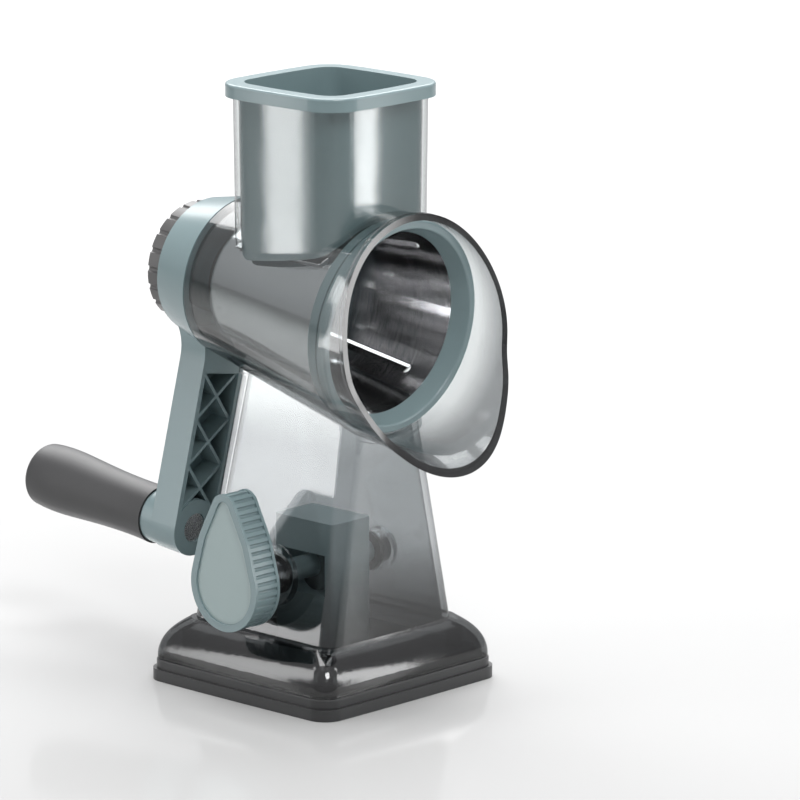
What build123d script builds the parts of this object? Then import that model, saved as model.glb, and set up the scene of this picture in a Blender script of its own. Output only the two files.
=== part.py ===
from build123d import *

import os
from math import atan, cos, degrees, radians, sin

# Rotary cheese grater. Millimetres, +Z up, origin at the middle of the foot's underside.
# The drum's mouth faces -Y and leans down, the crank is on the +Y end, the suction lever on -X.
# Stations are distances along the barrel's axis from the point above the origin, + to the mouth.

# Foot and skirt
base_width = 120.0
base_corner = 10.0
side_bow = 0.6
foot_height = 10.0
foot_step_height = 5.6
foot_step = 1.2
foot_wall = 9.0
skirt_inset = 2.2
skirt_rise = 20.0
pad_thickness = 4.4

# Tower
tower_wall = 2.6
tower_width = 85.0
tower_depth = 93.0
tower_corner = 8.0
tower_top_width = 46.0
tower_top_depth = 80.0
tower_top_shift = -2.8
tower_drop = 46.0
seam_bead = 1.5

# Base plate and its screws
plate_top = 15.0
plate_web = 3.0
plate_rim = 7.0
screw_spread = 88.0
screw_radius = 1.5
screw_head_radius = 3.0
screw_head_height = 2.0
screw_length = 9.0
screw_boss_wall = 2.5
screw_boss_rise = 11.5

# Barrel, guard and chute
barrel_height = 181.0
barrel_tilt = 5.5
barrel_wall = 2.5
barrel_back = -52.6
barrel_mouth = 50.0
back_radius = 38.5
mouth_radius = 53.8
guard_reach = 96.0
guard_middle = 74.0
guard_middle_radius = 55.1
guard_lip_radius = 59.4
bead_width = 2.6
bead_height = 0.6
chute_width = 74.0
chute_corner = 15.0
chute_bow = 1.6
chute_wall = 2.5
chute_shift = -6.0
chute_rise = 98.4
chute_draft = 0.9

# Drum
drum_length = 93.0
drum_wall = 0.8
drum_small_radius = 31.7
drum_large_radius = 44.7
ring_depth = 12.0
ring_lip = 0.6
ring_mouth_radius = 46.8
ring_groove = 1.0
cone_grip = 3.2
blade_count = 4
blade_length = 66.0
blade_width = 6.0
blade_angle = 20.0
slot_width = 5.0
hub_flange_radius = 26.0
hub_flange = 3.5
hub_clamp_radius = 24.0
hub_clamp = 3.0
hub_neck_radius = 16.0
collar_radius = 19.0
stem_radius = 17.0
stem_corner = 5.0
stem_length = 18.0

# Rear bush
bush_wall = 3.0
bush_flange = 2.5
bush_flange_depth = 2.0

# Crank
hub_depth = 23.2
hub_back_radius = 32.7
hub_shell = 3.6
hub_floor = 5.0
arm_lean = 9.2
arm_length = 123.5
arm_width = 27.6
arm_thickness = 16.0
arm_wall = 2.6
arm_floor = 4.0
neck_fillet = 24.0
lattice_pitch = 22.5
lattice_start = 48.0
rib_width = 1.5
rib_setback = 1.2
collar_depth = 8.0
grip_collar_radius = 13.2

# Lock knob
lock_radius = 29.0
lock_depth = 10.6
lock_lobes = 20
lobe_notch = 1.5
stud_radius = 4.0
stud_reach = 24.0
nut_radius = 7.5
nut_length = 14.0

# Handle grip
grip_length = 76.0
grip_cap_depth = 6.5
grip_end_radius = 15.4
grip_bulge_radius = 16.0
grip_waist_radius = 13.7
spindle_radius = 4.0
spindle_head_radius = 7.0
spindle_head = 3.0
spindle_stub = 12.0

# Suction lever
lever_height = 56.0
lever_face_x = 66.0
lever_depth = 15.8
lever_radius = 21.0
lever_waist_radius = 16.6
lever_waist_rise = 16.0
lever_tip_radius = 7.2
lever_tip_rise = 36.5
lever_flutes = 46
flute_radius = 0.9
lever_lip = 1.6
lever_rim = 3.2
face_depth = 2.0
face_setback = 1.0
shaft_radius = 5.5
shaft_flat = 1.2
boss_radius = 15.0
far_boss_radius = 10.0
far_boss_reach = 3.0
sleeve_wall = 2.0
sleeve_flange = 2.0
cam_radius = 9.6
cam_width = 14.0
pad_travel = 5.0
yoke_width = 26.0
yoke_depth = 38.0
yoke_bottom = 16.0
yoke_top = 79.0
yoke_web = 5.0
stud_stem_radius = 12.0
stud_disc_radius = 20.0
stud_disc = 2.0
stud_socket = 5.0

# Food pusher
pusher_wall = 2.2
pusher_rim = 6.4
pusher_rim_overhang = 3.0
pusher_floor = 2.6
pusher_gap = 3.0

# Clearances
running = 0.06
turning = 0.3
bond = 0.05
drum_gap = 0.7
pusher_fit = 0.45
cam_slack = 0.35

os.makedirs("parts", exist_ok=True)

tower_height = barrel_height - tower_drop - skirt_rise - foot_height
chute_top = barrel_height + chute_rise
tilt = radians(barrel_tilt)
barrel = Plane(
    origin=(0, 0, barrel_height), x_dir=(1, 0, 0), z_dir=(0, -cos(tilt), -sin(tilt))
)
barrel_axis = Axis(barrel.origin, barrel.z_dir)
# In this plane x is the radius and y the station
section = Plane(origin=barrel.origin, x_dir=barrel.x_dir, z_dir=-barrel.y_dir)

barrel_slope = (mouth_radius - back_radius) / (barrel_mouth - barrel_back)
drum_front = barrel_mouth + 0.8
drum_back = drum_front - drum_length
ring_back = drum_front - ring_depth
cone_end = ring_back + cone_grip
drum_slope = (drum_large_radius - drum_small_radius) / (ring_back - drum_back)

hub_front = barrel_back - 0.7
hub_rear = hub_front - hub_depth
lock_front = hub_rear - turning
lock_rear = lock_front - lock_depth
stem_end = hub_front - stem_length
arm_front = hub_front - 0.6
arm_rear = arm_front - arm_thickness
grip_front = arm_rear - collar_depth - turning
grip_rear = grip_front - grip_length

lever_back_x = lever_face_x - lever_depth
lever = Plane(origin=(-lever_face_x, 0, lever_height), x_dir=(0, -1, 0), z_dir=(-1, 0, 0))
shaft_line = Plane(origin=(0, 0, lever_height), x_dir=(0, -1, 0), z_dir=(-1, 0, 0))
cam_throw = pad_travel / (2 * sin(radians(45)))
cam_rest_x = cam_throw * cos(radians(45))
cam_rest_z = lever_height - cam_throw * sin(radians(45))


def spun(plane, angle):
    """The plane turned in itself by an angle in degrees."""
    spin = Axis(plane.origin, plane.z_dir)
    return Plane(plane.origin, x_dir=plane.x_dir.rotate(spin, angle), z_dir=plane.z_dir)


def barrel_radius(station):
    """Outer radius of the barrel at a station."""
    return back_radius + barrel_slope * (station - barrel_back)


def drum_radius(station):
    """Outer radius of the steel cone at a station."""
    return drum_small_radius + drum_slope * (station - drum_back)


crank = spun(barrel, -arm_lean)


def tower_size(height, top, bottom):
    """A tower measure at a height above the skirt, between its values at the root and the top."""
    return bottom + (top - bottom) * height / tower_height


def turned(points):
    """Solid turned about the barrel's axis from (radius, station) points."""
    with BuildPart() as body:
        with BuildSketch(section):
            with BuildLine():
                Polyline(*points, close=True)
            make_face()
        revolve(axis=barrel_axis)
    return body.part


def bowed_square(plane, width, corner, bow):
    """Rounded square on a plane whose four sides bow outward."""
    half = width / 2
    near = half - bow
    with BuildSketch(plane) as outline:
        with BuildLine():
            ThreePointArc((-near, -near), (0, -half), (near, -near))
            ThreePointArc((near, -near), (half, 0), (near, near))
            ThreePointArc((near, near), (0, half), (-near, near))
            ThreePointArc((-near, near), (-half, 0), (-near, -near))
        make_face()
        fillet(outline.vertices(), corner)
    return outline.sketch


def skirt_form(inset):
    """Pillow-shaped skirt between the foot and the tower, every wall moved in by inset."""
    full = base_width - 2 * skirt_inset
    narrow = max(tower_width, tower_depth) + side_bow
    rise = skirt_rise - inset
    with BuildPart() as form:
        for share in (0, 0.35, 0.62, 0.83, 1):
            width = narrow + (full - narrow) * (1 - share**2.6) - 2 * inset
            level = Plane.XY.offset(foot_height + rise * share)
            corner = base_corner - skirt_inset - inset
            add(bowed_square(level, width, corner, side_bow))
        loft()
    return form.part


def tower_form(inset):
    """Tapered tower from inside the skirt to inside the barrel, walls moved in by inset."""
    foot = foot_height + skirt_rise
    with BuildPart() as form:
        for height in (-8, tower_height + 18):
            width = tower_size(height, tower_top_width, tower_width) - 2 * inset
            depth = tower_size(height, tower_top_depth, tower_depth) - 2 * inset
            shift = tower_size(height, tower_top_shift, 0)
            with BuildSketch(Plane.XY.offset(foot + height)):
                with Locations((0, shift)):
                    RectangleRounded(width, depth, tower_corner - inset / 2)
        loft(ruled=True)
    return form.part


def chute_form(inset, floor, top):
    """Chute from floor to top with its draft, walls moved in by inset."""
    mid = Plane.XY.shift_origin((0, chute_shift, 0))
    low_width = chute_width - 2 * inset - 2 * chute_draft * (chute_top - floor) / 100
    top_width = chute_width - 2 * inset - 2 * chute_draft * (chute_top - top) / 100
    with BuildPart() as form:
        add(bowed_square(mid.offset(floor), low_width, chute_corner - inset, chute_bow))
        add(bowed_square(mid.offset(top), top_width, chute_corner - inset, chute_bow))
        loft(ruled=True)
    return form.part


def guard_cut(back_off):
    """Block in front of the guard's rim, seen from the side, moved back by back_off."""
    side = Plane(origin=barrel.origin, x_dir=barrel.z_dir, z_dir=(-1, 0, 0))
    reach = guard_reach + 30
    rim = [
        (52.4, 62),
        (56.5, 40),
        (63.5, 14),
        (68.2, -6),
        (70.6, -16),
        (74.6, -24),
        (82, -38),
        (96, -60),
    ]
    moved = [(station - back_off, height) for station, height in rim]
    with BuildPart() as block:
        with BuildSketch(side):
            with BuildLine():
                edge = Spline(*moved, tangents=((0.1, -1), (0.62, -1)))
                low = Line(edge @ 1, (moved[-1][0] + 12, -85))
                Polyline(low @ 1, (reach, -85), (reach, 80), (moved[0][0], 80), edge @ 0)
            make_face()
        extrude(amount=90, both=True)
    return block.part


def suction_pad():
    lower = foot_step_height
    with BuildPart() as pad:
        extrude(bowed_square(Plane.XY, base_width, base_corner, side_bow), amount=lower)
        upper = bowed_square(Plane.XY.offset(lower), base_width - 2 * foot_step, base_corner, side_bow)
        extrude(upper, amount=foot_height - lower)
        floor = Plane.XY.offset(pad_thickness)
        inner_width = base_width - 2 * foot_wall
        inner = bowed_square(floor, inner_width, base_corner, side_bow)
        extrude(inner, amount=foot_height, mode=Mode.SUBTRACT)
        fillet(pad.faces().sort_by(Axis.Z)[-1].outer_wire().edges(), 0.5)
    pad.part.label = "suction_pad"
    export_step(pad.part, "parts/suction_pad.step")


def base_plate():
    full = base_width - 2 * skirt_inset - 2 * tower_wall - 2 * turning
    corner = base_corner - skirt_inset - tower_wall
    web_bottom = plate_top - plate_web
    underside = Plane.XY.offset(foot_height)
    with BuildPart() as plate:
        extrude(bowed_square(underside, full - 4, corner, side_bow), amount=plate_top - foot_height)
        hollow = bowed_square(underside, full - 4 - 2 * plate_rim, corner, side_bow)
        extrude(hollow, amount=web_bottom - foot_height, mode=Mode.SUBTRACT)
        with BuildSketch(Plane.XY.offset(foot_height)):
            with GridLocations(screw_spread, screw_spread, 2, 2):
                Circle(screw_head_radius + 2)
        extrude(amount=web_bottom - foot_height)
        with Locations((0, 0, plate_top)):
            Hole(stud_stem_radius + running)
        with Locations(Plane.XY.offset(foot_height)):
            with GridLocations(screw_spread, screw_spread, 2, 2):
                Cylinder(
                    screw_head_radius + bond,
                    screw_head_height,
                    align=(Align.CENTER, Align.CENTER, Align.MIN),
                    mode=Mode.SUBTRACT,
                )
                Cylinder(
                    screw_radius + bond,
                    plate_top,
                    align=(Align.CENTER, Align.CENTER, Align.MIN),
                    mode=Mode.SUBTRACT,
                )
    plate.part.label = "base_plate"
    export_step(plate.part, "parts/base_plate.step")


def base_screws():
    with BuildPart() as screws:
        with BuildSketch(Plane.XY.offset(foot_height)):
            with GridLocations(screw_spread, screw_spread, 2, 2):
                Circle(screw_head_radius)
        extrude(amount=screw_head_height)
        with BuildSketch(Plane.XY.offset(foot_height)):
            with GridLocations(screw_spread, screw_spread, 2, 2):
                Circle(screw_radius)
        extrude(amount=screw_head_height + screw_length)
        with BuildSketch(Plane.XY.offset(foot_height)):
            with GridLocations(screw_spread, screw_spread, 2, 2):
                SlotOverall(3.4, 0.9)
        extrude(amount=0.8, mode=Mode.SUBTRACT)
    screws.part.label = "base_screws"
    export_step(screws.part, "parts/base_screws.step")


def tower_shell():
    back = barrel_back - 3
    front = guard_reach
    trim = [
        (0, back),
        (barrel_radius(back) + bond, back),
        (barrel_radius(front) + bond, front),
        (0, front),
    ]
    bead = [
        (barrel_radius(back) - 1, back),
        (barrel_radius(back) + 2, back),
        (barrel_radius(front) + 2, front),
        (barrel_radius(front) - 1, front),
    ]
    wall_x = tower_size(lever_height - foot_height - skirt_rise, tower_top_width, tower_width) / 2
    boss_end = lever_back_x - turning
    with BuildPart() as shell:
        add(tower_form(-seam_bead))
        add(turned(bead), mode=Mode.INTERSECT)
        add(skirt_form(0))
        add(tower_form(0))
        add(skirt_form(tower_wall), mode=Mode.SUBTRACT)
        add(tower_form(tower_wall), mode=Mode.SUBTRACT)
        with BuildSketch(Plane.XY.offset(plate_top)):
            with GridLocations(screw_spread, screw_spread, 2, 2):
                Circle(screw_radius + screw_boss_wall)
        extrude(amount=screw_boss_rise)
        with BuildSketch(shaft_line.offset(wall_x - 6)):
            Circle(boss_radius)
        extrude(amount=boss_end - wall_x + 6)
        with BuildSketch(shaft_line.offset(-wall_x - far_boss_reach)):
            Circle(far_boss_radius)
        extrude(amount=far_boss_reach + 6)
        add(turned(trim), mode=Mode.SUBTRACT)
        with BuildSketch(shaft_line.offset(-wall_x - far_boss_reach + 1.6)):
            Circle(shaft_radius + sleeve_wall + bond)
        extrude(amount=2 * wall_x + 40, mode=Mode.SUBTRACT)
        with BuildSketch(Plane.XY.offset(plate_top)):
            with GridLocations(screw_spread, screw_spread, 2, 2):
                Circle(screw_radius + bond)
        extrude(amount=screw_length - 2, mode=Mode.SUBTRACT)
    shell.part.label = "tower_shell"
    export_step(shell.part, "parts/tower_shell.step")


def shaft_sleeves():
    wall_x = tower_size(lever_height - foot_height - skirt_rise, tower_top_width, tower_width) / 2
    inner = wall_x - 6
    spans = {
        "shaft_bush_left": (inner, lever_back_x - turning),
        "shaft_bush_right": (-wall_x - far_boss_reach + 1.6, -inner),
    }
    for name, (low, high) in spans.items():
        flange = low - sleeve_flange if low > 0 else high
        with BuildPart() as sleeve:
            with BuildSketch(shaft_line.offset(low)):
                Circle(shaft_radius + sleeve_wall)
            extrude(amount=high - low)
            with BuildSketch(shaft_line.offset(flange)):
                Circle(shaft_radius + 2 * sleeve_wall)
            extrude(amount=sleeve_flange)
            with BuildSketch(shaft_line.offset(low - sleeve_flange)):
                Circle(shaft_radius + running)
            extrude(amount=high - low + 2 * sleeve_flange, mode=Mode.SUBTRACT)
        sleeve.part.label = name
        export_step(sleeve.part, f"parts/{name}.step")


def barrel_form(inset, back):
    """Barrel and guard filled solid from a station to past the lip, skin moved in by inset."""
    beyond = guard_reach + 4
    mouth = (mouth_radius - inset, barrel_mouth)
    lip = (guard_lip_radius - inset, guard_reach)
    with BuildPart() as form:
        with BuildSketch(section):
            with BuildLine():
                Polyline((0, beyond), (0, back), (barrel_radius(back) - inset, back), mouth)
                ThreePointArc(mouth, (guard_middle_radius - inset, guard_middle), lip)
                Polyline(lip, (lip[0], beyond), (0, beyond))
            make_face()
        revolve(axis=barrel_axis)
    return form.part


def barrel_housing():
    inner_back = barrel_back + barrel_wall
    bush_seat = collar_radius + bush_wall + bond
    with BuildPart() as housing:
        add(barrel_form(-bead_height, barrel_mouth - 10))
        add(guard_cut(bead_width), mode=Mode.INTERSECT)
        add(barrel_form(0, barrel_back))
        add(chute_form(0, barrel_height, chute_top))
        add(barrel_form(barrel_wall, inner_back), mode=Mode.SUBTRACT)
        add(chute_form(chute_wall, barrel_height + 6, chute_top + 1), mode=Mode.SUBTRACT)
        add(guard_cut(0), mode=Mode.SUBTRACT)
        with BuildSketch(barrel.offset(barrel_back - 1)):
            Circle(bush_seat)
        extrude(amount=barrel_wall + 2, mode=Mode.SUBTRACT)
    housing.part.label = "barrel_housing"
    export_step(housing.part, "parts/barrel_housing.step")


def rear_bush():
    seat = barrel_back + barrel_wall
    bore = collar_radius + running
    sleeve = collar_radius + bush_wall
    with BuildPart() as bush:
        add(
            turned(
                [
                    (bore, barrel_back - 0.3),
                    (sleeve, barrel_back - 0.3),
                    (sleeve, seat),
                    (sleeve + bush_flange, seat),
                    (sleeve + bush_flange, seat + bush_flange_depth),
                    (bore, seat + bush_flange_depth),
                ]
            )
        )
    bush.part.label = "rear_bush"
    export_step(bush.part, "parts/rear_bush.step")


def drum_cone():
    back = drum_back
    shell = [
        (hub_neck_radius + bond, back),
        (drum_radius(back), back),
        (drum_radius(cone_end), cone_end),
        (drum_radius(cone_end) - drum_wall, cone_end),
        (drum_radius(back + drum_wall) - drum_wall, back + drum_wall),
        (hub_neck_radius + bond, back + drum_wall),
    ]
    mid = (back + ring_back) / 2
    skin_lean = degrees(atan(drum_slope))
    with BuildPart() as cone:
        add(turned(shell))
        for index in range(blade_count):
            seat = spun(barrel, 45 + 360 * index / blade_count).offset(mid)
            centre = seat.from_local_coords((0, drum_radius(mid), 0))
            side = Axis(centre, seat.x_dir)
            out = seat.y_dir.rotate(side, -skin_lean)
            along = seat.z_dir.rotate(side, -skin_lean)
            skin = Plane(centre, x_dir=along, z_dir=out)
            extrude(long_slot(skin), amount=3, both=True, mode=Mode.SUBTRACT)
            edge = centre + skin.y_dir * (slot_width / 2 + 0.3) - out * (drum_wall / 2)
            lifted = skin.y_dir.rotate(Axis(edge, along), -blade_angle)
            blade = Plane(edge, x_dir=along, z_dir=along.cross(lifted))
            with BuildSketch(blade):
                with Locations((0, -blade_width / 2)):
                    Rectangle(blade_length - slot_width, blade_width)
            extrude(amount=drum_wall / 2, both=True)
    cone.part.label = "drum_cone"
    export_step(cone.part, "parts/drum_cone.step")


def long_slot(plane):
    """Outline of one slicing slot."""
    with BuildSketch(plane) as outline:
        SlotOverall(blade_length, slot_width)
    return outline.sketch


def drum_front_ring():
    clear = barrel_wall + drum_gap
    mid = (ring_back + drum_front) / 2
    half = ring_groove / 2
    bore = drum_radius(ring_back) - drum_wall - ring_lip
    with BuildPart() as ring:
        add(
            turned(
                [
                    (drum_radius(ring_back) + bond, ring_back),
                    (barrel_radius(ring_back) - clear, ring_back),
                    (barrel_radius(mid - half) - clear, mid - half),
                    (barrel_radius(mid - half) - clear - ring_groove, mid - half),
                    (barrel_radius(mid + half) - clear - ring_groove, mid + half),
                    (barrel_radius(mid + half) - clear, mid + half),
                    (barrel_radius(drum_front) - clear, drum_front),
                    (ring_mouth_radius, drum_front),
                    (bore, cone_end),
                    (drum_radius(cone_end) + bond, cone_end),
                ]
            )
        )
        fillet(ring.faces().sort_by(barrel_axis)[-1].edges(), 1.0)
    ring.part.label = "drum_front_ring"
    export_step(ring.part, "parts/drum_front_ring.step")


def stem_outline(grow):
    """Rounded hexagon of the drum's stem, grown all round."""
    with BuildSketch(barrel.offset(stem_end)) as outline:
        RegularPolygon(stem_radius + grow, 6)
        fillet(outline.vertices(), stem_corner)
    return outline.sketch


def drum_hub():
    inside = drum_back + drum_wall
    flange_back = drum_back - hub_flange
    with BuildPart() as hub:
        add(
            turned(
                [
                    (0, hub_front),
                    (collar_radius, hub_front),
                    (collar_radius, flange_back),
                    (hub_flange_radius, flange_back),
                    (hub_flange_radius, drum_back),
                    (hub_neck_radius, drum_back),
                    (hub_neck_radius, inside),
                    (hub_clamp_radius, inside),
                    (hub_clamp_radius, inside + hub_clamp),
                    (0, inside + hub_clamp),
                ]
            )
        )
        extrude(stem_outline(0), amount=stem_length + 1)
        add(turned(stem_bore()), mode=Mode.SUBTRACT)
    hub.part.label = "drum_hub"
    export_step(hub.part, "parts/drum_hub.step")


def stem_bore():
    """Outline of the stepped hole in the stem, for the nut and the end of the stud."""
    nut_front = stem_end + nut_length
    return [
        (0, stem_end - 1),
        (nut_radius + bond, stem_end - 1),
        (nut_radius + bond, nut_front),
        (stud_radius + 1, nut_front),
        (stud_radius + 1, nut_front + 8),
        (0, nut_front + 8),
    ]


def drum_insert_nut():
    with BuildPart() as nut:
        add(
            turned(
                [
                    (stud_radius + running, stem_end + 0.4),
                    (nut_radius, stem_end + 0.4),
                    (nut_radius, stem_end + nut_length),
                    (stud_radius + running, stem_end + nut_length),
                ]
            )
        )
    nut.part.label = "drum_insert_nut"
    export_step(nut.part, "parts/drum_insert_nut.step")


def crank_arm():
    floor_at = hub_rear + hub_floor
    with BuildPart() as arm:
        add(
            turned(
                [
                    (0, hub_rear),
                    (hub_back_radius, hub_rear),
                    (back_radius, hub_front),
                    (0, hub_front),
                ]
            )
        )
        with BuildSketch(crank.offset(arm_rear)) as outline:
            Circle(hub_back_radius + 1)
            with Locations((0, -arm_length / 2)):
                Rectangle(arm_width, arm_length)
            fillet(outline.vertices().group_by(Axis.Y)[-1], neck_fillet)
            with Locations((0, -arm_length)):
                Circle(arm_width / 2)
        extrude(amount=arm_thickness)
        with BuildSketch(crank.offset(arm_rear - collar_depth)):
            with Locations((0, -arm_length)):
                Circle(grip_collar_radius)
        extrude(amount=collar_depth)
        add(
            turned(
                [
                    (stem_radius + 4, floor_at),
                    (hub_back_radius - hub_shell, floor_at),
                    (back_radius - hub_shell, hub_front + 1),
                    (stem_radius + 4, hub_front + 1),
                ]
            ),
            mode=Mode.SUBTRACT,
        )
        extrude(stem_outline(bond + 0.05), amount=stem_length + 1, mode=Mode.SUBTRACT)
        with BuildSketch(crank.offset(arm_front)):
            with Locations((0, -(lattice_start + arm_length) / 2)):
                Rectangle(arm_width - 2 * arm_wall, arm_length - lattice_start)
            with Locations((0, -arm_length)):
                Circle(arm_width / 2, mode=Mode.SUBTRACT)
        extrude(amount=arm_floor - arm_thickness, mode=Mode.SUBTRACT)
        for index in range(3):
            place = -lattice_start - lattice_pitch * (index + 0.5)
            with BuildSketch(crank.offset(arm_rear + 1)):
                with Locations((0, place)):
                    Rectangle(lattice_pitch * 1.38, rib_width, rotation=45)
                    Rectangle(lattice_pitch * 1.38, rib_width, rotation=-45)
            extrude(amount=arm_thickness - 1 - rib_setback)
        add(
            turned(
                [
                    (0, hub_rear - 1),
                    (stud_radius + running, hub_rear - 1),
                    (stud_radius + running, stem_end + 1),
                    (0, stem_end + 1),
                ]
            ),
            mode=Mode.SUBTRACT,
        )
        with BuildSketch(crank.offset(arm_front + 1)):
            with Locations((0, -arm_length)):
                Circle(spindle_radius + bond)
        extrude(amount=-arm_thickness - collar_depth - 4, mode=Mode.SUBTRACT)
        with BuildSketch(crank.offset(arm_front + 1)):
            with Locations((0, -arm_length)):
                Circle(spindle_head_radius + bond)
        extrude(amount=-spindle_head - 2, mode=Mode.SUBTRACT)
    arm.part.label = "crank_arm"
    export_step(arm.part, "parts/crank_arm.step")


def on_spindle(points):
    """Solid turned about the handle spindle from (radius, station) points."""
    centre = crank.from_local_coords((0, -arm_length, 0))
    side = Plane(origin=centre, x_dir=barrel.x_dir, z_dir=-barrel.y_dir)
    with BuildPart() as body:
        with BuildSketch(side):
            with BuildLine():
                Polyline(*points, close=True)
            make_face()
        revolve(axis=Axis(centre, barrel.z_dir))
    return body.part


def handle_spindle():
    head = arm_front - 1
    end = grip_rear + spindle_stub
    with BuildPart() as spindle:
        add(
            on_spindle(
                [
                    (0, end),
                    (spindle_radius, end),
                    (spindle_radius, head - spindle_head),
                    (spindle_head_radius, head - spindle_head),
                    (spindle_head_radius, head),
                    (0, head),
                ]
            )
        )
        add(on_spindle([(0, end - 1), (1.6, end - 1), (1.6, end + 8), (0, end + 8)]), mode=Mode.SUBTRACT)
    spindle.part.label = "handle_spindle"
    export_step(spindle.part, "parts/handle_spindle.step")


def spindle_screw():
    end = grip_rear + spindle_stub
    with BuildPart() as screw:
        add(
            on_spindle(
                [
                    (0, end - 3.2),
                    (3.2, end - 3.2),
                    (3.2, end - 1.2),
                    (1.55, end - 1.2),
                    (1.55, end + 7),
                    (0, end + 7),
                ]
            )
        )
    screw.part.label = "spindle_screw"
    export_step(screw.part, "parts/spindle_screw.step")
    with BuildPart() as washer:
        add(on_spindle([(1.6, end - 1.2), (7.5, end - 1.2), (7.5, end), (1.6, end)]))
    washer.part.label = "spindle_washer"
    export_step(washer.part, "parts/spindle_washer.step")


def handle_grip():
    centre = crank.from_local_coords((0, -arm_length, 0))
    side = Plane(origin=centre, x_dir=barrel.x_dir, z_dir=-barrel.y_dir)
    shoulder = grip_rear + spindle_stub + turning
    bore = spindle_radius + running
    with BuildPart() as grip:
        with BuildSketch(side):
            with BuildLine():
                side_line = Spline(
                    (grip_waist_radius + 0.4, grip_front),
                    (grip_waist_radius, grip_front - grip_length * 0.22),
                    (grip_waist_radius + 1.3, grip_front - grip_length * 0.6),
                    (grip_bulge_radius, grip_front - grip_length * 0.88),
                    (grip_end_radius, grip_rear),
                )
                Polyline(
                    side_line @ 1,
                    (9, grip_rear),
                    (9, shoulder),
                    (bore, shoulder),
                    (bore, grip_front),
                    side_line @ 0,
                )
            make_face()
        revolve(axis=Axis(centre, barrel.z_dir))
    grip.part.label = "handle_grip"
    export_step(grip.part, "parts/handle_grip.step")
    with BuildPart() as cap:
        with BuildSketch(side):
            with BuildLine():
                dome = EllipticalCenterArc(
                    (0, grip_rear), grip_end_radius, grip_cap_depth, start_angle=270, arc_size=90
                )
                Polyline(
                    dome @ 1,
                    (9 - bond, grip_rear),
                    (9 - bond, grip_rear + 5),
                    (6, grip_rear + 5),
                    (6, grip_rear),
                    (0, grip_rear),
                    dome @ 0,
                )
            make_face()
        revolve(axis=Axis(centre, barrel.z_dir))
    cap.part.label = "grip_end_cap"
    export_step(cap.part, "parts/grip_end_cap.step")


def lock_knob():
    with BuildPart() as knob:
        with BuildSketch(barrel.offset(lock_rear)):
            Circle(lock_radius)
            with PolarLocations(lock_radius + lobe_notch * 0.4, lock_lobes):
                Circle(lobe_notch, mode=Mode.SUBTRACT)
        extrude(amount=lock_depth)
        chamfer(knob.faces().sort_by(barrel_axis)[0].edges(), 0.8)
        add(
            turned(
                [
                    (0, lock_front + 1),
                    (stud_radius + bond, lock_front + 1),
                    (stud_radius + bond, lock_rear + 3),
                    (0, lock_rear + 3),
                ]
            ),
            mode=Mode.SUBTRACT,
        )
    knob.part.label = "lock_knob"
    export_step(knob.part, "parts/lock_knob.step")
    with BuildPart() as stud:
        add(
            turned(
                [
                    (0, lock_rear + 3),
                    (stud_radius, lock_rear + 3),
                    (stud_radius, lock_front + stud_reach),
                    (0, lock_front + stud_reach),
                ]
            )
        )
    stud.part.label = "lock_stud"
    export_step(stud.part, "parts/lock_stud.step")


def lever_outline(plane, grow):
    """Teardrop outline on a plane, grown all round."""
    with BuildSketch(plane) as outline:
        Circle(lever_radius + grow)
        with Locations((0, lever_waist_rise)):
            Circle(lever_waist_radius + grow)
        with Locations((0, lever_tip_rise)):
            Circle(lever_tip_radius + grow)
        make_hull()
    return outline.sketch


def fluted_outline(plane):
    """Teardrop outline with flutes all round its edge."""
    edge = lever_outline(Plane.XY, 0).faces()[0].outer_wire()
    points = [edge @ (index / lever_flutes) for index in range(lever_flutes)]
    places = [(point.X, point.Y) for point in points]
    with BuildSketch(plane) as outline:
        Circle(lever_radius)
        with Locations((0, lever_waist_rise)):
            Circle(lever_waist_radius)
        with Locations((0, lever_tip_rise)):
            Circle(lever_tip_radius)
        make_hull()
        with Locations(*places):
            Circle(flute_radius, mode=Mode.SUBTRACT)
    return outline.sketch


def lever_knob():
    back = lever.offset(-lever_depth)
    pocket = face_depth + face_setback
    with BuildPart() as knob:
        extrude(fluted_outline(back), amount=lever_depth)
        for start in (-lever_depth, -lever_lip):
            extrude(lever_outline(lever.offset(start), 0.3), amount=lever_lip)
        extrude(lever_outline(lever.offset(-pocket), -lever_rim), amount=pocket, mode=Mode.SUBTRACT)
        with BuildSketch(lever.offset(-pocket - 3)):
            Circle(4)
        extrude(amount=3, mode=Mode.SUBTRACT)
        with BuildSketch(lever.offset(-lever_depth)):
            Circle(2)
        extrude(amount=lever_depth, mode=Mode.SUBTRACT)
        with BuildSketch(lever.offset(-lever_depth)) as socket:
            Circle(shaft_radius + bond)
            with Locations((0, shaft_radius + bond)):
                Rectangle(2 * shaft_radius, 2 * shaft_flat, mode=Mode.SUBTRACT)
        extrude(amount=lever_depth - pocket - 5, mode=Mode.SUBTRACT)
    knob.part.label = "lever_knob"
    export_step(knob.part, "parts/lever_knob.step")


def lever_face():
    with BuildPart() as face:
        extrude(lever_outline(lever.offset(-face_depth - face_setback), -lever_rim - bond), amount=face_depth)
    face.part.label = "lever_face"
    export_step(face.part, "parts/lever_face.step")


def lever_screw():
    seat = -face_depth - face_setback - 3
    with BuildPart() as screw:
        with BuildSketch(lever.offset(seat)):
            Circle(3.6)
        extrude(amount=2.4)
        with BuildSketch(lever.offset(seat)):
            Circle(1.9)
        extrude(amount=-10)
    screw.part.label = "lever_screw"
    export_step(screw.part, "parts/lever_screw.step")


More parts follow.
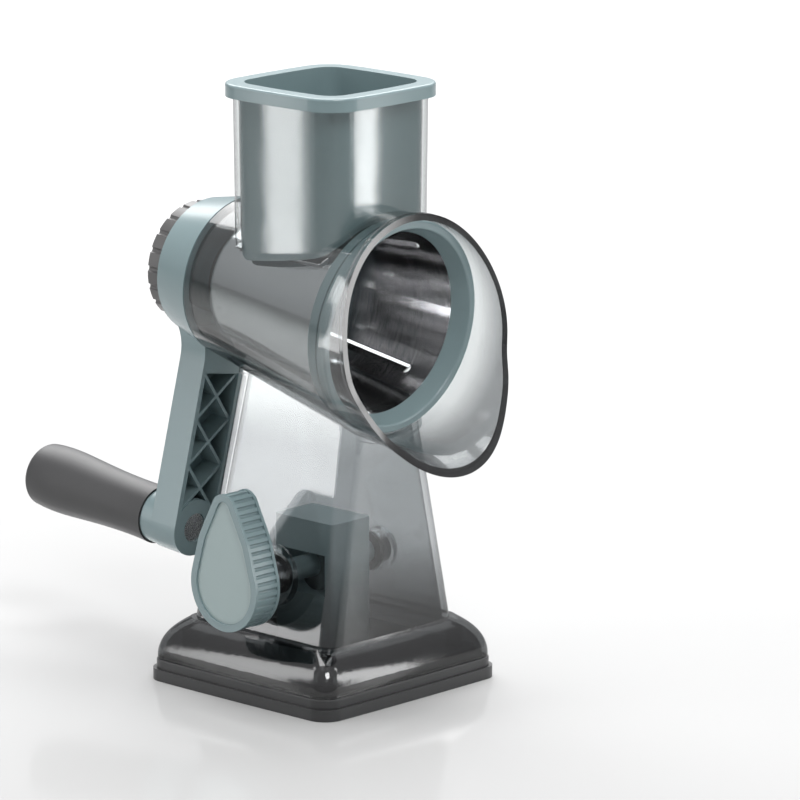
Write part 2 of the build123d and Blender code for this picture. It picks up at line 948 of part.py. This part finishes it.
def cam_shaft():
    wall_x = tower_size(lever_height - foot_height - skirt_rise, tower_top_width, tower_width) / 2
    pocket = face_depth + face_setback
    end = lever_face_x - pocket - 5 - bond
    far = wall_x + far_boss_reach - 2.6
    with BuildPart() as shaft:
        with BuildSketch(shaft_line.offset(-far)):
            Circle(shaft_radius)
        extrude(amount=end + far)
        with BuildSketch(shaft_line.offset(lever_back_x)):
            with Locations((0, shaft_radius)):
                Rectangle(2 * shaft_radius, 2 * shaft_flat)
        extrude(amount=lever_depth, mode=Mode.SUBTRACT)
        with BuildSketch(shaft_line.offset(end)):
            Circle(1.95)
        extrude(amount=-10, mode=Mode.SUBTRACT)
    shaft.part.label = "cam_shaft"
    export_step(shaft.part, "parts/cam_shaft.step")


def lift_cam():
    with BuildPart() as cam:
        with BuildSketch(shaft_line.offset(-cam_width / 2)):
            with Locations((cam_rest_x, cam_rest_z - lever_height)):
                Circle(cam_radius)
            Circle(shaft_radius + bond, mode=Mode.SUBTRACT)
        extrude(amount=cam_width)
    cam.part.label = "lift_cam"
    export_step(cam.part, "parts/lift_cam.step")


def lift_yoke():
    window = 2 * cam_radius + 2 * cam_slack
    with BuildPart() as yoke:
        with BuildSketch(Plane.XY.offset(yoke_bottom)):
            RectangleRounded(yoke_width, yoke_depth, 2)
        extrude(amount=yoke_top - yoke_bottom)
        with BuildSketch(Plane.YZ.offset(-yoke_width)):
            with Locations((0, cam_rest_z)):
                Rectangle(yoke_depth - 2 * yoke_web, window)
        extrude(amount=2 * yoke_width, mode=Mode.SUBTRACT)
        with BuildSketch(Plane.XY.offset(yoke_bottom)):
            Circle(stud_stem_radius + bond)
        extrude(amount=stud_socket, mode=Mode.SUBTRACT)
        with BuildSketch(Plane.XY.offset(yoke_bottom)):
            Circle(2)
        extrude(amount=cam_rest_z - yoke_bottom, mode=Mode.SUBTRACT)
    yoke.part.label = "lift_yoke"
    export_step(yoke.part, "parts/lift_yoke.step")


def pad_stud():
    disc_bottom = pad_thickness
    with BuildPart() as stud:
        with BuildSketch(Plane.XY.offset(disc_bottom)):
            Circle(stud_disc_radius)
        extrude(amount=stud_disc)
        with BuildSketch(Plane.XY.offset(disc_bottom)):
            Circle(stud_stem_radius)
        extrude(amount=yoke_bottom + stud_socket - disc_bottom)
    stud.part.label = "pad_stud"
    export_step(stud.part, "parts/pad_stud.step")


def food_pusher():
    inset = chute_wall + pusher_fit
    low = barrel_height + 4
    saddle = [
        (0, drum_back - 20),
        (drum_radius(drum_back - 20) + pusher_gap, drum_back - 20),
        (drum_radius(guard_reach) + pusher_gap, guard_reach),
        (0, guard_reach),
    ]
    saddle_floor = [
        (0, drum_back - 20),
        (drum_radius(drum_back - 20) + pusher_gap + pusher_floor, drum_back - 20),
        (drum_radius(guard_reach) + pusher_gap + pusher_floor, guard_reach),
        (0, guard_reach),
    ]
    rim_plane = Plane.XY.shift_origin((0, chute_shift, 0)).offset(chute_top)
    rim_width = chute_width + 2 * pusher_rim_overhang
    with BuildPart() as core:
        add(chute_form(inset + pusher_wall, low, chute_top + pusher_rim + 1))
        add(turned(saddle_floor), mode=Mode.SUBTRACT)
    with BuildPart() as pusher:
        add(chute_form(inset, low, chute_top + 1))
        extrude(bowed_square(rim_plane, rim_width, chute_corner + 2, chute_bow), amount=pusher_rim)
        fillet(pusher.faces().sort_by(Axis.Z)[-1].edges(), 1.2)
        add(turned(saddle), mode=Mode.SUBTRACT)
        add(core.part, mode=Mode.SUBTRACT)
    pusher.part.label = "food_pusher"
    export_step(pusher.part, "parts/food_pusher.step")


suction_pad()
base_plate()
base_screws()
tower_shell()
shaft_sleeves()
barrel_housing()
rear_bush()
drum_cone()
drum_front_ring()
drum_hub()
drum_insert_nut()
crank_arm()
handle_spindle()
spindle_screw()
handle_grip()
lock_knob()
lever_knob()
lever_face()
lever_screw()
cam_shaft()
lift_cam()
lift_yoke()
pad_stud()
food_pusher()
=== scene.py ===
import bpy
import bmesh
from math import cos, radians, sin
from mathutils import Matrix, Vector

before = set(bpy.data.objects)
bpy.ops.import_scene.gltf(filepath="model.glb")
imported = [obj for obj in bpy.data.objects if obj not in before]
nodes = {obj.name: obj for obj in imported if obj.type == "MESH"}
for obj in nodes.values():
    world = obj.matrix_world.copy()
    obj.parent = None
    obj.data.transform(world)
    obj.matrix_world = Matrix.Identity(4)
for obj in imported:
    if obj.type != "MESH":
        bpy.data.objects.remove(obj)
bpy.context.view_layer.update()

print("frame loaded,", len(nodes), "nodes")


def srgb(hexText):
    # hex colour to the linear values that shaders take
    parts = [int(hexText[i:i + 2], 16) / 255 for i in (1, 3, 5)]
    linear = [p / 12.92 if p <= 0.04045 else ((p + 0.055) / 1.055) ** 2.4 for p in parts]
    return (*linear, 1.0)


def perMm(size):
    # texture scale for a pattern of this many millimetres, on object coordinates in metres
    return 1000.0 / size


def addNode(tree, kind, inputs=None, **settings):
    # an input that is a socket is linked, and any other is a value
    node = tree.nodes.new(kind)
    for name, value in settings.items():
        setattr(node, name, value)
    for name, value in (inputs or {}).items():
        if isinstance(value, bpy.types.NodeSocket):
            tree.links.new(value, node.inputs[name])
        else:
            node.inputs[name].default_value = value
    return node


def newMaterial(name):
    material = bpy.data.materials.new(name)
    material.use_nodes = True
    tree = material.node_tree
    tree.nodes.clear()
    output = addNode(tree, "ShaderNodeOutputMaterial")
    coords = addNode(tree, "ShaderNodeTexCoord").outputs["Object"]
    return material, tree, output, coords


# noise mostly lies between these two values, which are spread over a finish's range
noiseSpread = {"From Min": 0.3, "From Max": 0.7}


# Moulded plastic: a satin skin with a faint orange peel, a little cloudiness where the
# pigment flowed, and slight handling marks that only show in the shine
plastic = {"flowMm": 34, "handlingMm": 9, "glossier": 0.01, "duller": 0.015,
           "peelStrength": 0.2, "ior": 1.53}


def mouldedPlastic(name, colour, shade, roughness, peelMm=1.1, peelDepthMm=0.012):
    material, tree, output, coords = newMaterial(name)
    flow = addNode(tree, "ShaderNodeTexNoise",
                   {"Vector": coords, "Scale": perMm(plastic["flowMm"]), "Detail": 3.0})
    peel = addNode(tree, "ShaderNodeTexNoise",
                   {"Vector": coords, "Scale": perMm(peelMm), "Detail": 2.0})
    handling = addNode(tree, "ShaderNodeTexNoise",
                       {"Vector": coords, "Scale": perMm(plastic["handlingMm"]), "Detail": 5.0,
                        "Roughness": 0.7})
    tint = addNode(tree, "ShaderNodeMix",
                   {0: flow.outputs["Fac"], 6: srgb(colour), 7: srgb(shade)}, data_type="RGBA")
    rough = addNode(tree, "ShaderNodeMapRange",
                    {"Value": handling.outputs["Fac"], **noiseSpread,
                     "To Min": roughness - plastic["glossier"],
                     "To Max": roughness + plastic["duller"]})
    bump = addNode(tree, "ShaderNodeBump",
                   {"Height": peel.outputs["Fac"], "Strength": plastic["peelStrength"],
                    "Distance": peelDepthMm * 0.001})
    shader = addNode(tree, "ShaderNodeBsdfPrincipled",
                     {"Base Color": tint.outputs[2], "Roughness": rough.outputs[0],
                      "Normal": bump.outputs[0], "IOR": plastic["ior"]})
    tree.links.new(shader.outputs[0], output.inputs["Surface"])
    return material


# Smoke SAN: clear styrene with grey dye. Each skin lets most light straight through without
# bending it, takes more on a slanting path, and mirrors like any polished plastic. The whole
# moulding is one plastic, so the tints that differ by place are painted light and shade: paler
# on the barrel, darker on the guard, and darker still towards the bottom on the skirt. Places are in
# metres
smoke = {"tower": "#dfe1e2", "barrel": "#f2f4f4", "skirt": "#989a9b", "guard": "#c4c6c7",
         "slanting": "#4c4f51", "rim": "#2c2e2f",
         "skirtFrom": 0.07, "skirtFull": 0.022, "barrelFrom": 0.118, "barrelFull": 0.135,
         "guardFrom": -0.052, "guardFull": -0.068, "rimAhead": -0.05, "rimAbove": 0.1,
         "rimLevel": 0.04, "rimFacing": 0.5, "slantPower": 3.0, "glancePower": 5.0,
         "mirror": 0.06, "mirrorAtGlance": 0.8, "roughness": 0.06, "filmed": 0.05, "filmMm": 40}


def smokeSan():
    material, tree, output, coords = newMaterial("smokeSan")
    facing = addNode(tree, "ShaderNodeLayerWeight", {"Blend": 0.5}).outputs["Facing"]
    slant = addNode(tree, "ShaderNodeMath", {0: facing, 1: smoke["slantPower"]},
                    operation="POWER")
    glance = addNode(tree, "ShaderNodeMath", {0: facing, 1: smoke["glancePower"]},
                     operation="POWER")
    place = addNode(tree, "ShaderNodeSeparateXYZ", {0: coords}).outputs

    tint = srgb(smoke["tower"])
    # tints by place are painted light and shade: paler on the barrel, darker on the guard and on the
    # skirt
    for region, axis in (("barrel", "Z"), ("guard", "Y"), ("skirt", "Z")):
        share = addNode(tree, "ShaderNodeMapRange",
                        {"Value": place[axis], "From Min": smoke[region + "From"],
                         "From Max": smoke[region + "Full"]})
        tint = addNode(tree, "ShaderNodeMix",
                       {0: share.outputs[0], 6: tint, 7: srgb(smoke[region])},
                       data_type="RGBA").outputs[2]
    tint = addNode(tree, "ShaderNodeMix",
                   {0: slant.outputs[0], 6: tint, 7: srgb(smoke["slanting"])},
                   data_type="RGBA").outputs[2]

    # painted shade: the cut edge round the guard is painted dark, standing in for light that runs
    # along inside the wall and leaves it dark; the edge is found by its place and by the way it faces
    normal = addNode(tree, "ShaderNodeTexCoord").outputs["Normal"]
    across = addNode(tree, "ShaderNodeSeparateXYZ", {0: normal}).outputs["X"]
    ahead = addNode(tree, "ShaderNodeVectorMath", {0: normal, 1: (0, -1, 0)},
                    operation="DOT_PRODUCT").outputs["Value"]
    tests = [addNode(tree, "ShaderNodeMath", inputs, operation=test).outputs[0]
             for test, inputs in (("COMPARE", {0: across, 1: 0.0, 2: smoke["rimLevel"]}),
                                  ("GREATER_THAN", {0: ahead, 1: smoke["rimFacing"]}),
                                  ("LESS_THAN", {0: place["Y"], 1: smoke["rimAhead"]}),
                                  ("GREATER_THAN", {0: place["Z"], 1: smoke["rimAbove"]}))]
    rim = tests[0]
    for test in tests[1:]:
        rim = addNode(tree, "ShaderNodeMath", {0: rim, 1: test}, operation="MULTIPLY").outputs[0]
    tint = addNode(tree, "ShaderNodeMix", {0: rim, 6: tint, 7: srgb(smoke["rim"])},
                   data_type="RGBA").outputs[2]

    window = addNode(tree, "ShaderNodeBsdfTransparent", {"Color": tint})
    handling = addNode(tree, "ShaderNodeTexNoise",
                       {"Vector": coords, "Scale": perMm(smoke["filmMm"]), "Detail": 4.0})
    film = addNode(tree, "ShaderNodeMapRange",
                   {"Value": handling.outputs["Fac"], **noiseSpread,
                    "To Min": smoke["roughness"], "To Max": smoke["roughness"] + smoke["filmed"]})
    mirror = addNode(tree, "ShaderNodeBsdfGlossy",
                     {"Roughness": film.outputs[0], "Color": (1, 1, 1, 1)})
    share = addNode(tree, "ShaderNodeMath",
                    {0: glance.outputs[0], 1: smoke["mirrorAtGlance"], 2: smoke["mirror"]},
                    operation="MULTIPLY_ADD")
    mixed = addNode(tree, "ShaderNodeMixShader",
                    {"Fac": share.outputs[0], 1: window.outputs[0], 2: mirror.outputs[0]})
    tree.links.new(mixed.outputs[0], output.inputs["Surface"])
    return material


# Polished stainless: nearly a mirror, with fine lines round the drum from the polishing
# wheel that spread the shine a little unevenly
steel = {"colour": "#cfcfd0", "linesMm": 0.5, "lineStretch": (0.05, 1.0, 0.05),
         "glossiest": 0.07, "dullest": 0.17}


def polishedStainless():
    material, tree, output, coords = newMaterial("polishedStainless")
    lines = addNode(tree, "ShaderNodeMapping", {"Vector": coords, "Scale": steel["lineStretch"]})
    hair = addNode(tree, "ShaderNodeTexNoise",
                   {"Vector": lines.outputs[0], "Scale": perMm(steel["linesMm"]), "Detail": 3.0})
    rough = addNode(tree, "ShaderNodeMapRange",
                    {"Value": hair.outputs["Fac"], **noiseSpread,
                     "To Min": steel["glossiest"], "To Max": steel["dullest"]})
    shader = addNode(tree, "ShaderNodeBsdfPrincipled",
                     {"Roughness": rough.outputs[0], "Base Color": srgb(steel["colour"]),
                      "Metallic": 1.0})
    tree.links.new(shader.outputs[0], output.inputs["Surface"])
    return material


# Plated steel and turned brass: small machined parts with faint marks from the tool
machined = {"marksMm": 0.4, "depthMm": 0.02, "strength": 0.2, "glossier": 0.06, "duller": 0.1}


def machinedMetal(name, colour, roughness):
    material, tree, output, coords = newMaterial(name)
    marks = addNode(tree, "ShaderNodeTexNoise",
                    {"Vector": coords, "Scale": perMm(machined["marksMm"]), "Detail": 4.0})
    rough = addNode(tree, "ShaderNodeMapRange",
                    {"Value": marks.outputs["Fac"], **noiseSpread,
                     "To Min": roughness - machined["glossier"],
                     "To Max": roughness + machined["duller"]})
    bump = addNode(tree, "ShaderNodeBump",
                   {"Height": marks.outputs["Fac"], "Strength": machined["strength"],
                    "Distance": machined["depthMm"] * 0.001})
    shader = addNode(tree, "ShaderNodeBsdfPrincipled",
                     {"Roughness": rough.outputs[0], "Normal": bump.outputs[0],
                      "Base Color": srgb(colour), "Metallic": 1.0})
    tree.links.new(shader.outputs[0], output.inputs["Surface"])
    return material


# Moulded rubber: black with a dull bloom and a leathery micro texture
rubber = {"colour": "#262627", "bloom": "#343536", "bloomMm": 18, "grainMm": 0.9,
          "grainDepthMm": 0.03, "strength": 0.25, "glossiest": 0.3, "dullest": 0.44, "ior": 1.52}


def footRubber():
    material, tree, output, coords = newMaterial("footRubber")
    bloom = addNode(tree, "ShaderNodeTexNoise",
                    {"Vector": coords, "Scale": perMm(rubber["bloomMm"]), "Detail": 5.0})
    grain = addNode(tree, "ShaderNodeTexVoronoi",
                    {"Vector": coords, "Scale": perMm(rubber["grainMm"])})
    tint = addNode(tree, "ShaderNodeMix",
                   {0: bloom.outputs["Fac"], 6: srgb(rubber["colour"]), 7: srgb(rubber["bloom"])},
                   data_type="RGBA")
    rough = addNode(tree, "ShaderNodeMapRange",
                    {"Value": bloom.outputs["Fac"], **noiseSpread,
                     "To Min": rubber["glossiest"], "To Max": rubber["dullest"]})
    bump = addNode(tree, "ShaderNodeBump",
                   {"Height": grain.outputs["Distance"], "Strength": rubber["strength"],
                    "Distance": rubber["grainDepthMm"] * 0.001})
    shader = addNode(tree, "ShaderNodeBsdfPrincipled",
                     {"Base Color": tint.outputs[2], "Roughness": rough.outputs[0],
                      "Normal": bump.outputs[0], "IOR": rubber["ior"]})
    tree.links.new(shader.outputs[0], output.inputs["Surface"])
    return material


# painted light: the yoke and its shaft are paler than the other teal only to make up for the light
# the dark walls take
finishes = {
    "smokeClear": smokeSan(),
    "tealBody": mouldedPlastic("tealAbs", "#76898c", "#798c8f", 0.25),
    "tealFace": mouldedPlastic("paleTealAbs", "#94a4a4", "#97a7a7", 0.34),
    # painted light: a paler copy of the teal for the yoke and its shaft
    "paintedLightTealYoke": mouldedPlastic("paintedLightYokeTealAbs", "#aebfc0", "#b2c2c3", 0.3),
    "darkKnob": mouldedPlastic("charcoalAbs", "#474646", "#504f4f", 0.36, 0.7, 0.02),
    "grip": mouldedPlastic("charcoalPolypropylene", "#2e2e2f", "#363637", 0.48, 0.8, 0.015),
    "black": mouldedPlastic("blackAcetal", "#141414", "#1c1c1c", 0.3),
    "rubber": footRubber(),
    "steel": polishedStainless(),
    "plated": machinedMetal("platedSteel", "#b9babb", 0.26),
    "brass": machinedMetal("turnedBrass", "#c9a45c", 0.3),
}
nodeFinish = {
    "tower_shell": "smokeClear", "barrel_housing": "smokeClear", "rear_bush": "black",
    "base_plate": "black", "base_screws": "plated", "suction_pad": "rubber",
    "shaft_bush_left": "black", "shaft_bush_right": "black", "crank_arm": "tealBody",
    "handle_spindle": "plated", "spindle_screw": "plated", "spindle_washer": "plated",
    "handle_grip": "grip", "grip_end_cap": "grip", "lock_knob": "darkKnob", "lock_stud": "plated",
    "drum_cone": "steel", "drum_front_ring": "tealBody", "drum_hub": "tealBody",
    "drum_insert_nut": "brass", "lever_knob": "tealBody", "lever_face": "tealFace",
    "lever_screw": "plated", "cam_shaft": "paintedLightTealYoke", "lift_cam": "black",
    "lift_yoke": "paintedLightTealYoke", "pad_stud": "black", "food_pusher": "tealBody",
}
for nodeName, finish in nodeFinish.items():
    mesh = nodes[nodeName].data
    mesh.materials.clear()
    mesh.materials.append(finishes[finish])
print("finishes on the CAD nodes")


view = {"azimuth": radians(-46.61), "elevation": radians(12.72), "distance": 2.80535,
        "aim": (0.0, 0.0, 0.150), "across": -0.03643, "down": -0.01563, "lens": 270.14,
        "sensor": 36, "farthest": 50}


def placeCamera():
    a, e = view["azimuth"], view["elevation"]
    back = Vector((sin(a) * cos(e), -cos(a) * cos(e), sin(e)))
    right = Vector((cos(a), sin(a), 0))
    up = back.cross(right)
    place = Vector(view["aim"]) - right * view["across"] + up * view["down"] + back * view["distance"]
    data = bpy.data.cameras.new("camera")
    data.lens = view["lens"]
    data.sensor_width = view["sensor"]
    data.clip_end = view["farthest"]
    camera = bpy.data.objects.new("camera", data)
    camera.matrix_world = Matrix.Translation(place) @ Matrix((right, up, back)).transposed().to_4x4()
    bpy.context.scene.collection.objects.link(camera)
    bpy.context.scene.camera = camera
    return right, back


right, back = placeCamera()
away = Vector((-back.x, -back.y, 0)).normalized()  # along the floor, from the camera
studio = {"floorSize": 16.0, "floorColour": "#bdbdbd", "floorShine": 0.14, "floorRoughness": 0.09,
          "sky": 0.4, "roomLow": (0.42, 0.42, 0.43, 1), "roomHigh": (0.8, 0.8, 0.82, 1),
          "roomFrom": -0.2, "roomTo": 0.9}


def layFloor():
    mesh = bpy.data.meshes.new("floor")
    bm = bmesh.new()
    bmesh.ops.create_grid(bm, x_segments=1, y_segments=1, size=studio["floorSize"] / 2)
    bm.to_mesh(mesh)
    bm.free()
    floor = bpy.data.objects.new("floor", mesh)
    bpy.context.scene.collection.objects.link(floor)
    material, tree, output, _ = newMaterial("paleFloor")
    matt = addNode(tree, "ShaderNodeBsdfDiffuse", {"Color": srgb(studio["floorColour"])})
    shine = addNode(tree, "ShaderNodeBsdfGlossy",
                    {"Color": (1, 1, 1, 1), "Roughness": studio["floorRoughness"]})
    mixed = addNode(tree, "ShaderNodeMixShader",
                    {"Fac": studio["floorShine"], 1: matt.outputs[0], 2: shine.outputs[0]})
    tree.links.new(mixed.outputs[0], output.inputs["Surface"])
    mesh.materials.append(material)


# place and aim in metres from the middle of the object, then width and height, and power
middle = Vector((0, 0, 0.16))
softboxes = {
    "leftStrip": (-right * 0.72 + back * 0.075 + Vector((0, 0, 0.08)),
                  Vector((0, 0, 0.05)), (0.11, 1.1), 1.8),
    "rightStrip": (right * 0.74 + back * 0.05 + Vector((0, 0, 0.08)),
                   Vector((0, 0, 0.05)), (0.06, 1.1), 1.5),
    "keySoftbox": (right * 0.35 + back * 0.9 + Vector((0, 0, 0.95)),
                   Vector((0, 0, 0)), (0.5, 0.5), 11.0),
    "topSoftbox": (away * 0.15 + Vector((0, 0, 1.1)),
                   Vector((0, 0, 0)), (0.9, 0.6), 10.0),
    "rearSoftbox": (away * 1.7 + Vector((0, 0, 1.3)),
                    away * 1.5 - Vector((0, 0, 0.16)), (2.4, 1.6), 70.0),
}


def lightSoftbox(name, place, aim, size, power):
    data = bpy.data.lights.new(name, "AREA")
    data.shape = "RECTANGLE"
    data.size, data.size_y = size
    data.energy = power
    lamp = bpy.data.objects.new(name, data)
    lamp.visible_camera = False
    turn = (place - aim).to_track_quat("Z", "Y")
    lamp.matrix_world = Matrix.Translation(middle + place) @ turn.to_matrix().to_4x4()
    bpy.context.scene.collection.objects.link(lamp)


def lightWorld():
    # even light for what is matt; what shines sees a greyer room, so edges read
    world = bpy.data.worlds.new("studio")
    bpy.context.scene.world = world
    world.use_nodes = True
    tree = world.node_tree
    tree.nodes.clear()
    path = addNode(tree, "ShaderNodeLightPath")
    ray = addNode(tree, "ShaderNodeTexCoord").outputs["Generated"]
    height = addNode(tree, "ShaderNodeSeparateXYZ", {0: ray}).outputs["Z"]
    level = addNode(tree, "ShaderNodeMapRange",
                    {"Value": height, "From Min": studio["roomFrom"],
                     "From Max": studio["roomTo"]})
    room = addNode(tree, "ShaderNodeMix",
                   {0: level.outputs[0], 6: studio["roomLow"], 7: studio["roomHigh"]},
                   data_type="RGBA")
    even = addNode(tree, "ShaderNodeBackground",
                   {"Color": (1, 1, 1, 1), "Strength": studio["sky"]})
    dim = addNode(tree, "ShaderNodeBackground", {"Color": room.outputs[2], "Strength": 1.0})
    mixed = addNode(tree, "ShaderNodeMixShader",
                    {"Fac": path.outputs["Is Glossy Ray"], 1: even.outputs[0], 2: dim.outputs[0]})
    output = addNode(tree, "ShaderNodeOutputWorld")
    tree.links.new(mixed.outputs[0], output.inputs["Surface"])


layFloor()
lightWorld()
for name, settings in softboxes.items():
    lightSoftbox(name, *settings)
bpy.context.scene.view_settings.view_transform = "Standard"
print("camera, floor and lights set")
